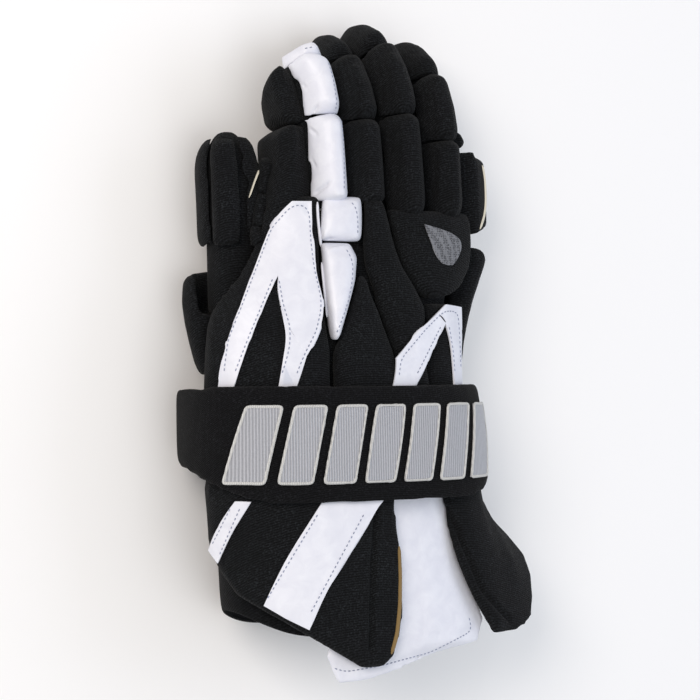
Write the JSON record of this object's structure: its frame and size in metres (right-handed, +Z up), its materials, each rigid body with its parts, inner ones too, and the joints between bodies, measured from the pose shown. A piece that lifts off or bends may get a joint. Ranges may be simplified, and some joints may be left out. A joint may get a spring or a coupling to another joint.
{
  "type": "lacrosse glove",
  "caption": "Right-hand padded lacrosse glove with a hollow hand, curled finger stalls, segmented foam rolls, a wide wrist strap and an open flared cuff.",
  "frame": {"origin": "bottom centre of the glove's bounding box, on the surface that it rests on palm down", "axes": "+Y towards the fingertips, +X towards the little finger's side, +Z up out of the back of the hand"},
  "size_m": [0.1916, 0.3196, 0.0862],
  "materials": {
    "knit": "black ribbed polyester knit, matte with a fine grey fleck",
    "webbing": "black brushed loop fabric, matte",
    "white_leather": "white synthetic leather, semi-gloss, blue-grey stitching",
    "grey_mesh": "grey open spacer mesh",
    "embroidery": "silver-grey satin-stitch embroidery",
    "palm_leather": "cream microfibre palm leather, matte",
    "lining": "black brushed lining cloth"
  },
  "bodies": {
    "root": {"hand_shell": "knit", "cuff_liner": "lining", "thumb_stall": "knit", "index_stall": "knit", "middle_stall": "knit", "ring_stall": "knit", "pinky_stall": "knit", "index_pad_1": "white_leather", "index_pad_2": "white_leather", "index_tip_pad": "white_leather", "middle_pad_1": "knit", "middle_pad_2": "knit", "middle_tip_pad": "knit", "ring_pad_1": "knit", "ring_pad_2": "knit", "ring_tip_pad": "knit", "pinky_pad_1": "knit", "pinky_pad_2": "knit", "pinky_tip_pad": "knit", "index_side_tip": "knit", "index_side_roll": "knit", "pinky_side_tip": "knit", "pinky_side_roll": "knit", "thumb_outer_roll": "knit", "thumb_top_pad": "knit", "thumb_inner_pad": "knit", "back_panel_index": "knit", "index_hand_pad": "white_leather", "index_knuckle_pad": "white_leather", "back_panel_triangle": "knit", "back_panel_middle": "knit", "knuckle_pad": "knit", "back_panel_pinky": "knit", "hand_side_pad": "knit", "thumb_base_pad": "knit", "cuff_tongue": "white_leather", "cuff_thumb_panel": "knit", "cuff_pinky_flap": "knit", "palm_panel": "palm_leather", "wrist_strap": "webbing", "index_overlay": "white_leather", "pinky_overlay": "white_leather", "knuckle_mesh": "grey_mesh", "cuff_stripe_1": "white_leather", "cuff_stripe_2": "white_leather", "strap_bar_1": "embroidery", "strap_bar_2": "embroidery", "strap_bar_3": "embroidery", "strap_bar_4": "embroidery", "strap_bar_5": "embroidery", "strap_bar_6": "embroidery", "strap_bar_7": "embroidery"}
  },
  "joints": []
}
